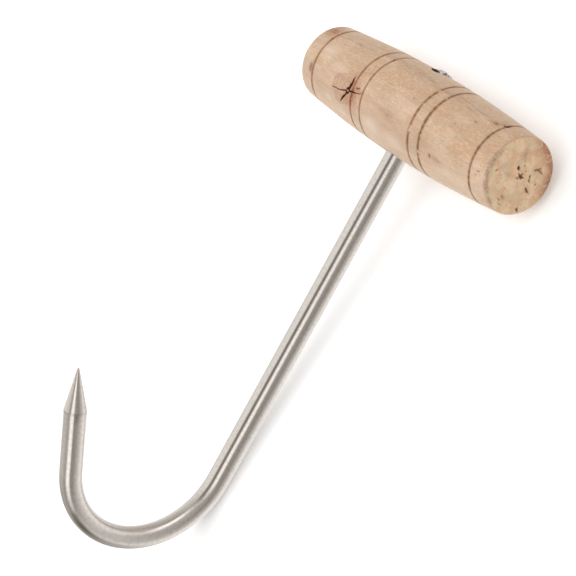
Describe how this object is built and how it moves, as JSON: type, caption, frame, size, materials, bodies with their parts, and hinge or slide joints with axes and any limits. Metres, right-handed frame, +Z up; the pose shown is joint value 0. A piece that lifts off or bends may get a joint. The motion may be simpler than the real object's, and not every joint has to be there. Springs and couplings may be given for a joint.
{
  "type": "meat t-hook",
  "caption": "Hand hook for meat: a turned wooden T grip, cross-drilled and fixed on a steel rod that is bent into a hook with a ground point.",
  "frame": {"origin": "middle of the part's footprint, on the surface it lies on", "axes": "+X from the grip towards the bend of the hook, +Y along the grip, +Z up, the way the hook opens as it lies"},
  "size_m": [0.1994, 0.115, 0.0823],
  "materials": {
    "wood": "raw turned beech, worn and stained",
    "steel": "bright drawn stainless rod"
  },
  "bodies": {
    "root": {"handle": "wood", "hook": "steel"}
  },
  "joints": []
}
